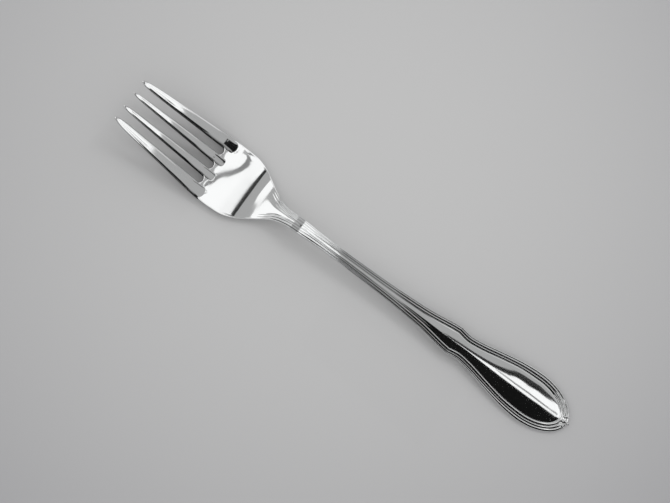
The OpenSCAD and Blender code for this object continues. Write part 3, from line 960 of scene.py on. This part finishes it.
# %% Grey uncoated paper
# matt fibres without a gleam; its brightest place and how far from there the light has fallen
PAPER_MIDDLE = Vector((-27, 33, 0))
PAPER_REACH = 185
BRIGHT_PAPER, DIM_PAPER = "#C8C8C8", "#ABABAD"
paper = bpy.data.materials.new("grey_paper")
paper.use_nodes = True
tree = paper.node_tree
tree.nodes.clear()
spot = add_node(tree, "ShaderNodeTexCoord")
away = add_node(
    tree, "ShaderNodeVectorMath", {"operation": "DISTANCE", 1: PAPER_MIDDLE * MM},
    {0: spot.outputs["Object"]},
)
share = add_node(
    tree, "ShaderNodeMapRange", {"From Max": PAPER_REACH * MM}, {"Value": away.outputs["Value"]},
)
falling = add_node(
    tree, "ShaderNodeMath", {"operation": "POWER", 1: 2.0}, {0: share.outputs["Result"]},
)
tone = add_node(
    tree, "ShaderNodeMix",
    {"data_type": "RGBA", 6: linear(BRIGHT_PAPER), 7: linear(DIM_PAPER)},
    {0: falling.outputs["Value"]},
)
sheen = add_node(
    tree, "ShaderNodeBsdfPrincipled", {"Roughness": 0.9}, {"Base Color": tone.outputs[2]},
)
add_node(tree, "ShaderNodeOutputMaterial", None, {"Surface": sheen.outputs["BSDF"]})
floor_mesh.materials.append(paper)
print("greys of the paper:", BRIGHT_PAPER, DIM_PAPER)

# %% [markdown]
# Polished steel has no colour of its own to show, so a photographer lights it by choosing what
# it mirrors. Boards hang 600 mm over the fork: a grey tent, soft boxes that are white, and
# black flags that draw the dark edges. The heel flag draws the line across the palm, the
# handle's soft box and shades its bright lens, and the arm of a stand the grey band that
# curves over the palm. Each board fills its outline and is seen only by reflections, so the
# floor and other materials keep a plain, even light.

# %% Boards over the fork
BOARD_H, BOARD_STEP = 600, 0.2
FAR = 3000
WHITE, PALE, GREY, DIM, BLACK = 1.25, 0.85, 0.47, 0.28, 0.008
# name, how bright it is, how wide its soft edge is, and its corners in millimetres;
# each board hangs a little lower than the one before it
BOARDS = [
    ("tent", GREY, 100, [(-FAR, -FAR), (FAR, -FAR), (FAR, FAR), (-FAR, FAR)]),
    ("back_card", 0.68, 60, [(120, 430), (1200, 430), (1200, FAR), (120, FAR)]),
    ("side_card", PALE, 8, [(150, 225), (250, 225), (250, FAR), (150, FAR)]),
    ("heel_flag", 0.04, 30, [(-106, 38), (0, 38), (0, 196), (-106, 196)]),
    ("soft_box", WHITE, 3, [
        (170, -FAR), (168, -100), (178, 120), (186, 200), (160, 260), (160, FAR),
        (-74, FAR), (-71, 170), (-72.5, 129), (-72.5, 98), (-76, 70), (-78, 20), (-78, -FAR),
    ]),
    ("far_soft_box", WHITE, 6, [
        (-FAR, -400), (-252, -400), (-252, 118), (-290, 133), (-380, 139), (-430, 144),
        (-530, 150), (-600, 170), (-800, 230), (-1100, 300), (-FAR, 800),
    ]),
    ("wide_shade", 0.04, 30, [
        (238, 114), (262, 146), (292, 171), (312, 197), (330, 206), (372, 202), (400, 219),
        (560, 330), (620, 300), (400, 130), (300, 70), (250, 70),
    ]),
    ("handle_shade", 0.02, 6, [
        (240, 92), (240, 112), (250, 120), (280, 138), (296, 160), (304, 180), (316, 189),
        (345, 191), (372, 189), (400, 202), (540, 299), (520, 270), (374, 160), (311, 110),
        (262, 92),
    ]),
    ("handle_flag", BLACK, 3, [
        (122, -FAR), (FAR, -FAR), (FAR, 140), (359, 111), (321, 107), (280, 101), (244, 101),
        (205, 75), (150, 55), (122, 36),
    ]),
    ("handle_soft_box", WHITE, 2, [
        (228, 97), (244, 102), (280, 102), (321, 108), (359, 112), (FAR, 141), (FAR, 900),
        (520, 295), (395, 189), (372, 177), (350, 177), (335, 177), (322, 175), (316, 169),
        (311, 154), (292, 132), (262, 111),
    ]),
    ("lens_line", 0.22, 1, [
        (296, 126), (322, 123), (372, 125), (372, 134), (322, 132), (296, 133),
    ]),
    ("arm", DIM, 0.8, [
        (172, 160), (145, 150), (105, 140), (96, 132), (75, 124), (11, 112.5), (-20, 103.5),
        (-48, 92), (-61, 78), (-60, 70), (-43, 51), (0, 54), (34, 61), (34, 67), (-12, 60),
        (-33, 72.5), (-31, 76.5), (-14, 89.5), (23, 100.5), (70, 110.5), (109, 120), (150, 136),
        (172, 146),
    ]),
]
print("boards over the fork:", [row[0] for row in BOARDS])

# %% [markdown]
# A board that hangs lower, or a mat on the table, is mirrored only by the part of the fork
# beside it. The low card and flags belong to the stem and to the root of one outer tine, and
# the mats darken the side walls of the tines and the stem.

# %% Low boards and mats
# as above, and how high each one lies
LOW_BOARDS = [
    ("head_mat", BLACK, 2, [(-106, -22), (-62, -22), (-62, 15), (-106, 15)], 0.1),
    ("stem_mat", BLACK, 2, [(-1, -34), (60, -40), (60, -14), (-1, -9)], 0.1),
    ("stem_card", GREY, 1.5, [(46, 25), (98, 25), (98, 400), (46, 400)], 250),
    ("crest_card", 0.3, 1.5, [(46, -60), (92, -60), (92, 25), (46, 25)], 250.1),
    ("stem_flag", BLACK, 1.5, [(46, -400), (88, -400), (88, -55), (46, -55)], 250.2),
    ("root_flag", BLACK, 1, [(-38.6, 15.2), (-31.5, 14.5), (-31.5, 20.3), (-38.6, 20.3)], 60),
]
print("low boards:", [row[0] for row in LOW_BOARDS])

# %% [markdown]
# A soft box glows evenly and fades at its edge. So each board is one outlined face whose edge
# is inset: a number on its corners is 1 inside and 0 on the rim, and the material mixes the
# glow with clear glass by it.

# %% Hanging the boards
def soft_glow(name, level):
    """A glow that fades out with the number on the corners."""
    glow = bpy.data.materials.new(name + "_glow")
    glow.use_nodes = True
    glow.cycles.emission_sampling = "NONE"
    tree = glow.node_tree
    tree.nodes.clear()
    edge = add_node(tree, "ShaderNodeAttribute", {"attribute_name": "fade"})
    clear = add_node(tree, "ShaderNodeBsdfTransparent")
    light = add_node(tree, "ShaderNodeEmission", {"Strength": level})
    mix = add_node(tree, "ShaderNodeMixShader", None, {
        "Fac": edge.outputs["Fac"], 1: clear.outputs["BSDF"], 2: light.outputs["Emission"],
    })
    add_node(tree, "ShaderNodeOutputMaterial", None, {"Surface": mix.outputs["Shader"]})
    return glow


def soft_board(name, level, rim, corners, height):
    """A face that glows evenly and fades out towards its edge."""
    bm = bmesh.new()
    fade = bm.verts.layers.float.new("fade")
    face = bm.faces.new([bm.verts.new((x * MM, y * MM, height * MM)) for x, y in corners])
    bmesh.ops.inset_region(bm, faces=[face], thickness=rim * MM, use_even_offset=True)
    for v in face.verts:
        v[fade] = 1.0
    mesh = bpy.data.meshes.new(name)
    bm.to_mesh(mesh)
    bm.free()
    board = bpy.data.objects.new(name, mesh)
    bpy.context.scene.collection.objects.link(board)
    for ray in ("camera", "diffuse", "transmission", "volume_scatter", "shadow"):
        setattr(board, "visible_" + ray, False)
    mesh.materials.append(soft_glow(name, level))
    return board


for order, (name, level, rim, corners) in enumerate(BOARDS):
    soft_board(name, level, rim, corners, BOARD_H - order * BOARD_STEP)
for row in LOW_BOARDS:
    soft_board(*row)
print("boards hung:", len(BOARDS) + len(LOW_BOARDS))

# %% [markdown]
# Past the boards the steel mirrors the walls of the room: dark ones on the fork's right and
# pale ones on its left. Light Path's Is Glossy Ray shows them to reflections only, and all
# else gets the even light of a white sky.

# %% Walls and sky
WALL_DARK, WALL_LIGHT = 0.02, 0.6
WALL_CHANGE = 0.25
SKY_LEVEL = 1.0
world = bpy.data.worlds.new("studio")
world.use_nodes = True
bpy.context.scene.world = world
sky = world.node_tree
sky.nodes.clear()
ray = add_node(sky, "ShaderNodeLightPath")
toward = add_node(sky, "ShaderNodeTexCoord")
sides = add_node(sky, "ShaderNodeSeparateXYZ", None, {"Vector": toward.outputs["Generated"]})
wall = add_node(
    sky, "ShaderNodeMapRange",
    {"From Min": -WALL_CHANGE, "From Max": WALL_CHANGE, "To Min": WALL_DARK, "To Max": WALL_LIGHT},
    {"Value": sides.outputs["Y"]},
)
mirrored = add_node(sky, "ShaderNodeBackground", None, {"Strength": wall.outputs["Result"]})
plain = add_node(sky, "ShaderNodeBackground", {"Strength": SKY_LEVEL})
both = add_node(sky, "ShaderNodeMixShader", None, {
    "Fac": ray.outputs["Is Glossy Ray"],
    1: plain.outputs["Background"],
    2: mirrored.outputs["Background"],
})
add_node(sky, "ShaderNodeOutputWorld", None, {"Surface": both.outputs["Shader"]})
print("walls and sky:", WALL_DARK, WALL_LIGHT, SKY_LEVEL)

# %% [markdown]
# One weak round lamp on the fork's left gives the shadow its side. It is hidden from
# reflections, because the boards already stand for every light that the steel mirrors.

# %% Lamp for the soft shadow
LAMP_W = 300
LAMP_POWER = 0.8
LAMP_PLACE = Vector((50, 450, 700))
lamp_data = bpy.data.lights.new("key", "AREA")
lamp_data.shape = "DISK"
lamp_data.size = LAMP_W * MM
lamp_data.energy = LAMP_POWER
lamp = bpy.data.objects.new("key", lamp_data)
lamp.location = LAMP_PLACE * MM
lamp.rotation_euler = (-LAMP_PLACE).to_track_quat("-Z", "Y").to_euler()
lamp.visible_glossy = False
bpy.context.scene.collection.objects.link(lamp)
print("lamp's width in mm and power in watts:", LAMP_W, LAMP_POWER)

# %% [markdown]
# Last, the plain view transform is set.

# %% Finish
bpy.context.scene.view_settings.view_transform = "Standard"
